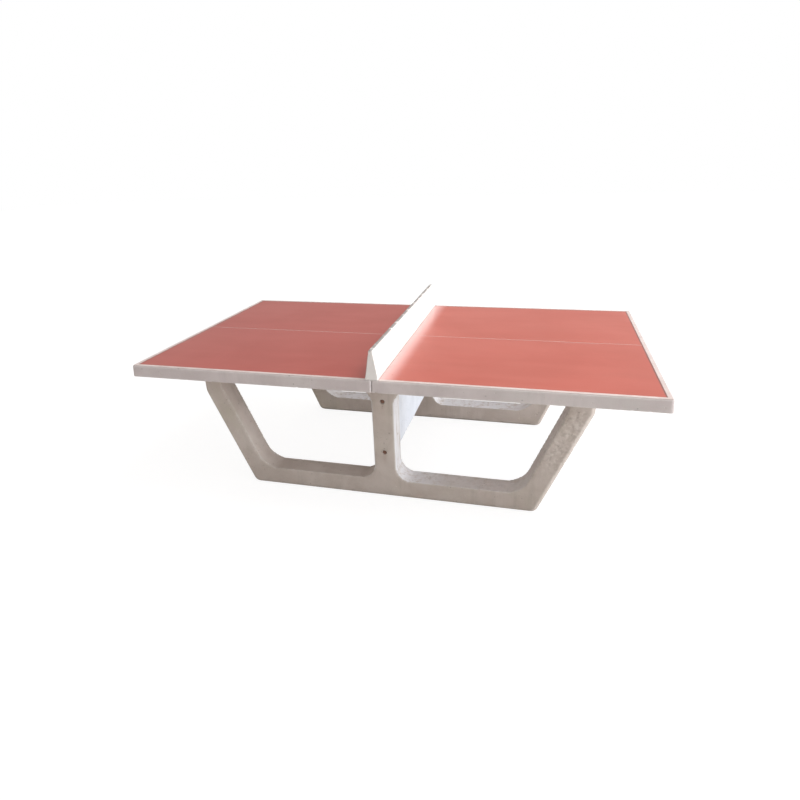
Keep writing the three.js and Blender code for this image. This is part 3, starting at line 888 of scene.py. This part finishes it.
def softCoat(bm, values):
    top = max(vert.co.z for vert in bm.verts)
    rims = [e for e in bm.edges if all(v.co.z > top - 0.0001 for v in e.verts)]
    bevelEdges(bm, rims, values["rim"], 2)
    cutLong(bm, values["cell"], {0: 0.1, 1: 0.1})
    for vert in bm.verts:     # roller-laid, so not quite flat
        if vert.co.z > top - 0.0002:
            vert.co.z += (noise.noise(vert.co * 2.4) - 0.5) * values["wave"]
    return bm


def makeRedField(side, end):
    node = f"red_field_{side}_{end}"
    mesh = meshOf(softCoat(blockBetween(*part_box(node)), coatValues), node, sharpAngles["coat"])
    addPiece(f"court_{side}_{end}", mesh, "red_resin", node)


def makeBorderLine(side):
    sign = sides[side]
    low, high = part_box(f"border_line_{side}")
    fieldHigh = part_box(f"red_field_{side}_rear")[1]
    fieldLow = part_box(f"red_field_{side}_front")[0]
    net = low.x if sign > 0 else high.x
    far = high.x if sign > 0 else low.x
    inner = fieldHigh.x if sign > 0 else fieldLow.x
    outline = [(net, low.y), (inner, low.y), (far, low.y), (far, fieldLow.y), (far, fieldHigh.y),
               (far, high.y), (inner, high.y), (net, high.y), (net, fieldHigh.y), (inner, fieldHigh.y),
               (inner, fieldLow.y), (net, fieldLow.y)]
    bm = bmesh.new()
    verts = [bm.verts.new((x, y, low.z)) for x, y in outline]
    quads = [(0, 1, 10, 11), (1, 2, 3, 10), (10, 3, 4, 9), (9, 4, 5, 6), (8, 9, 6, 7)]
    for quad in quads:     # five panels keep the three-sided strip in squares
        bm.faces.new([verts[i] for i in quad])
    bmesh.ops.recalc_face_normals(bm, faces=bm.faces[:])
    extruded(bm, (0, 0, high.z - low.z))
    rims = [e for e in bm.edges if all(v.co.z > high.z - 0.0001 for v in e.verts)
            and e.calc_face_angle(0) > 0.5]
    bevelEdges(bm, rims, coatValues["rim"], 2)
    cutLong(bm, coatValues["cell"], {0: 0.1, 1: 0.1})
    mesh = meshOf(bm, "border line", sharpAngles["coat"])
    addPiece(f"lines_{side}", mesh, "line_paint", f"border_line_{side}")


def makeCentreLine(side):
    node = f"centre_line_{side}"
    thin = dict(coatValues, rim=coatValues["thinRim"])
    mesh = meshOf(softCoat(blockBetween(*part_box(node)), thin), node, sharpAngles["coat"])
    addPiece(f"middle_line_{side}", mesh, "line_paint", node)


# net wall

netValues = {
    "topHalf": 0.009, "arris": 0.0035, "cell": 0.0075, "wave": 0.0004, "ragged": 0.0004,
    "chips": 6, "chipRadius": (0.004, 0.008), "airHoles": 40, "airHoleRadius": (0.0014, 0.0030),
    "rodHole": 0.0063, "seed": 9,
}


def makeNet(values):
    low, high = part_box("net_wall")
    bm = blockBetween(low, high)
    for vert in bm.verts:     # wedge: narrow at the top
        if vert.co.z > high.z - 0.001:
            vert.co.x = math.copysign(values["topHalf"], vert.co.x)
    foot = [e for e in bm.edges if all(v.co.z < low.z + 0.001 for v in e.verts)]
    rest = [e for e in bm.edges if e not in foot]
    bevelEdges(bm, rest, values["arris"], 3)
    cutLong(bm, values["cell"], {1: 0.1, 2: 0.05, 0: 0.012})
    mesh = meshOf(bm, "net body")
    weatherMesh(mesh, values, keep=lambda co: co.z < low.z + 0.001)
    bm = bmesh.new()
    for end in ends:
        rodLow, rodHigh, middle = boxOf(f"net_rod_{end}")
        addBar(bm, "Z", values["rodHole"], low.z - cutPast, rodHigh.z + 0.0005, (0, middle.y, 0))
    mesh = cutAway(mesh, meshOf(bm, "rod holes"))
    holes = airHoleCutter(mesh, values, lambda co, normal: co.z > low.z + 0.02 and abs(normal.z) < 0.5)
    mesh = cutAway(mesh, holes)
    addPiece("net", mesh, "net_concrete", "net_wall")
    print("net wall", len(mesh.polygons))


# bolts, washers, rods, plates and nuts

boltValues = {"shank": 0.006, "head": 0.0075, "rim": 0.0009, "dish": 0.0005}
washerValues = {"bore": 0.0063, "rim": 0.0005}
plateValues = {"bore": 0.0063, "rim": 0.0008, "cutHalf": 0.05}
threadValues = {"pitch": 0.00175, "depth": 0.0008, "steps": 28}


def spunPiece(profile, steps, closed):     # profile is (radius, height) pairs round the Z axis
    bm = bmesh.new()
    verts = [bm.verts.new((r, 0, z)) for r, z in profile]
    links = list(zip(verts, verts[1:] + verts[:1] if closed else verts[1:]))
    edges = [bm.edges.new(pair) for pair in links]
    bmesh.ops.spin(bm, geom=verts + edges, cent=(0, 0, 0), axis=(0, 0, 1), angle=math.tau, steps=steps,
                   use_merge=True)
    bmesh.ops.remove_doubles(bm, verts=bm.verts, dist=1e-6)
    bmesh.ops.recalc_face_normals(bm, faces=bm.faces[:])
    return bm


def hexHead(across, height, values):
    bm = bmesh.new()
    corner = across / math.sqrt(3)
    bmesh.ops.create_cone(bm, cap_ends=True, segments=6, radius1=corner, radius2=corner, depth=height)
    top = [f for f in bm.faces if f.normal.z > 0.9]
    bmesh.ops.inset_region(bm, faces=top, thickness=values["rim"] * 2.2, depth=values["dish"])
    corners = [e for e in bm.edges if all(v.co.z < height / 2 + 1e-5 for v in e.verts)
               and any(v.co.z > height / 2 - 1e-5 for v in e.verts)]
    bevelEdges(bm, corners, values["rim"], 2)
    bmesh.ops.translate(bm, vec=(0, 0, height / 2), verts=bm.verts)
    return bm


def joined(target, source):
    mesh = bpy.data.meshes.new("part")
    source.to_mesh(mesh)
    source.free()
    target.from_mesh(mesh)
    return target


def turnedAlong(bm, outward, place):     # Z of the drawing becomes the outward direction
    turn = Vector((0, 0, 1)).rotation_difference(Vector(outward)).to_matrix()
    bmesh.ops.rotate(bm, cent=(0, 0, 0), matrix=turn, verts=bm.verts)
    bmesh.ops.translate(bm, vec=place, verts=bm.verts)
    return bm


def threadProfile(radius, start, finish, values):
    points = []
    height = start
    while height + values["pitch"] < finish:
        points.append((radius - values["depth"], height))
        points.append((radius, height + values["pitch"] / 2))
        height += values["pitch"]
    return points


def makeBolt(level, end):
    sign = ends[end]
    name = f"panel_bolt_{level}_{end}"
    low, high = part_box(name)
    shank, tip = boltValues["shank"], boltValues["head"] - (high.y - low.y)
    profile = [(0, tip), (shank - 0.001, tip), *threadProfile(shank, tip + 0.001, -0.10, threadValues),
               (shank, -0.098), (shank, 0.0006), (0, 0.0006)]
    bm = spunPiece(profile, threadValues["steps"], False)
    bm = joined(bm, hexHead(high.z - low.z, boltValues["head"], boltValues))
    turn = Matrix.Rotation(0.35 * sign + 0.9 * high.z, 3, "Z")     # no two heads stop at the same angle
    bmesh.ops.rotate(bm, cent=(0, 0, 0), matrix=turn, verts=bm.verts)
    underHead = (low.y + boltValues["head"]) if sign < 0 else (high.y - boltValues["head"])
    turnedAlong(bm, (0, sign, 0), (0, underHead, (low.z + high.z) / 2))
    addPiece(f"bolt_{level}_{end}", meshOf(bm, name, sharpAngles["steel"]), "rusty_steel", name)


def makeWasher(level, end):
    node = f"panel_washer_{level}_{end}"
    low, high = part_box(node)
    outer, thick = (high.z - low.z) / 2, high.y - low.y
    rim, bore = washerValues["rim"], washerValues["bore"]
    profile = [(bore, rim), (bore + rim, 0), (outer - rim, 0), (outer, rim), (outer, thick - rim),
               (outer - rim, thick), (bore + rim, thick), (bore, thick - rim)]
    bm = spunPiece(profile, 36, True)
    inner = high.y if ends[end] < 0 else low.y
    turnedAlong(bm, (0, ends[end], 0), (0, inner, (low.z + high.z) / 2))
    addPiece(f"washer_{level}_{end}", meshOf(bm, node, sharpAngles["steel"]), "rusty_steel", node)


def makeNetFixing(end):
    rodLow, rodHigh, middle = boxOf(f"net_rod_{end}")
    radius = (rodHigh.x - rodLow.x) / 2
    length = rodHigh.z - rodLow.z
    profile = [(0, 0), (radius - 0.001, 0), *threadProfile(radius, 0.001, length - 0.002, threadValues),
               (radius - 0.001, length), (0, length)]
    bm = spunPiece(profile, threadValues["steps"], False)
    turnedAlong(bm, (0, 0, 1), (0, middle.y, rodLow.z))
    addPiece(f"rod_{end}", meshOf(bm, "rod", sharpAngles["steel"]), "zinc_steel", f"net_rod_{end}")
    bore = (plateValues["bore"], -plateValues["cutHalf"], plateValues["cutHalf"],
            (0, middle.y, rodLow.z), sharpAngles["steel"])
    low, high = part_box(f"net_anchor_plate_{end}")
    bm = blockBetween(low, high)
    bevelEdges(bm, list(bm.edges), plateValues["rim"], 2)
    addPiece(f"plate_{end}", bored(meshOf(bm, "plate"), *bore), "zinc_steel", f"net_anchor_plate_{end}")
    low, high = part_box(f"net_nut_{end}")
    bm = hexHead(high.y - low.y, high.z - low.z, dict(boltValues, dish=0.0))
    turnedAlong(bm, (0, 0, -1), (0, middle.y, high.z))
    addPiece(f"nut_{end}", bored(meshOf(bm, "nut"), *bore), "zinc_steel", f"net_nut_{end}")


# rubber pads

padValues = {"corner": 0.006, "rim": 0.0011, "bore": 0.0085}


def makePad(node, name, holeAt=None):
    low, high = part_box(node)
    bm = blockBetween(low, high)
    bevelEdges(bm, uprightEdges(bm.edges, 0.002), padValues["corner"], 4)
    rims = [e for e in bm.edges if e.calc_face_angle(0) > 1.2]
    bevelEdges(bm, rims, padValues["rim"], 2)
    mesh = meshOf(bm, node, sharpAngles["rubber"])
    if holeAt:
        mesh = bored(mesh, padValues["bore"], low.z - cutPast, high.z + cutPast,
                     (holeAt.x, holeAt.y, 0), sharpAngles["rubber"])
    addPiece(name, mesh, "pad_rubber", node)


# floor

floorValues = {
    "colour": (0.84, 0.825, 0.81, 1), "shade": (0.80, 0.785, 0.77, 1), "half": 26.0,
    "bleach": 0.74, "bleachGlow": 1.18,     # how far it washes out to the backdrop's white
}


def makeFloor(values):
    bm = bmesh.new()
    bmesh.ops.create_grid(bm, x_segments=1, y_segments=1, size=values["half"])
    bmesh.ops.translate(bm, vec=(0, 0, -0.0005), verts=bm.verts)
    floor = bpy.data.objects.new("floor", meshOf(bm, "floor"))
    material, tree, shader, place = newMaterial("studio floor")
    tone = noiseOf(tree, place, 3.0, 3.0)
    tree.links.new(mixColour(tree, tone, values["shade"], values["colour"]), shader.inputs["Base Color"])
    shader.inputs["Roughness"].default_value = 0.9
    shader.inputs["Specular IOR Level"].default_value = 0.1
    glow = addNode(tree, "ShaderNodeEmission", {"Color": (1, 1, 1, 1), "Strength": values["bleachGlow"]})
    seen = addNode(tree, "ShaderNodeLightPath").outputs["Is Camera Ray"]
    share = times(tree, seen, values["bleach"])
    both = addNode(tree, "ShaderNodeMixShader", {0: share, 1: shader.outputs[0], 2: glow.outputs[0]})
    tree.links.new(both.outputs[0], tree.nodes["Material Output"].inputs["Surface"])
    floor.data.materials.append(material)
    scene.collection.objects.link(floor)


def makeSky(values):
    world = bpy.data.worlds.new("studio")
    scene.world = world
    world.use_nodes = True
    tree = world.node_tree
    tree.nodes.clear()
    axes = axesOf(tree, addNode(tree, "ShaderNodeTexCoord").outputs["Generated"])
    toRight = mapRange(tree, axes["X"], 0.05, 1.0)
    toBack = mapRange(tree, axes["Y"], -0.6, 0.9)
    glow = mixColour(tree, toRight, (*values["skyLow"], 1), (*values["skyRight"], 1), "ADD")
    glow = mixColour(tree, toBack, glow, (*values["skyBack"], 1), "ADD")
    toLeft = mapRange(tree, axes["X"], -0.45, -1.0)
    glow = mixColour(tree, toLeft, glow, (*values["skyLeft"], 1), "ADD")
    lighting = addNode(tree, "ShaderNodeBackground", {"Color": glow, "Strength": 1.0})
    backdrop = addNode(tree, "ShaderNodeBackground", {"Color": (1, 1, 1, 1), "Strength": 1.0})
    seen = addNode(tree, "ShaderNodeLightPath").outputs["Is Camera Ray"]
    mixed = addNode(tree, "ShaderNodeMixShader", {0: seen, 1: lighting.outputs[0], 2: backdrop.outputs[0]})
    addNode(tree, "ShaderNodeOutputWorld", {"Surface": mixed.outputs[0]})


makeCamera(cameraValues)
areaLight("key", lightValues["key"], (0, 0, 0.7))
areaLight("sideWindow", lightValues["sideWindow"], (0, -0.4, 0.5))
areaLight("backWindow", lightValues["backWindow"], (0, 0.5, 0.2))
makeSky(lightValues)
makeFloor(floorValues)
scene.view_settings.view_transform = "Standard"
print("studio ready")

for end in ends:
    makeSideFrame(end, sideFrameValues)
    makeNetFixing(end)
    for level in levels:
        makeBolt(level, end)
        makeWasher(level, end)
makePanel(panelValues)
makeNet(netValues)
for side in sides:
    makeHalfTop(side, halfTopValues)
    makeBorderLine(side)
    makeCentreLine(side)
    for end in ends:
        makeRedField(side, end)
        dowelAt = boxOf(f"locating_dowel_{side}_{end}")[2]
        makePad(f"leg_pad_{side}_{end}", f"leg_rubber_{side}_{end}", dowelAt)
        makePad(f"head_pad_{side}_{end}", f"head_rubber_{side}_{end}")
makePad("panel_pad", "panel_rubber")
print("pieces ready")

for name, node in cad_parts.items():     # the hidden steel that stays as packed
    if name.startswith(("locating_dowel", "panel_socket")):
        for slot in node.material_slots:
            slot.material = materials["zinc_steel"]
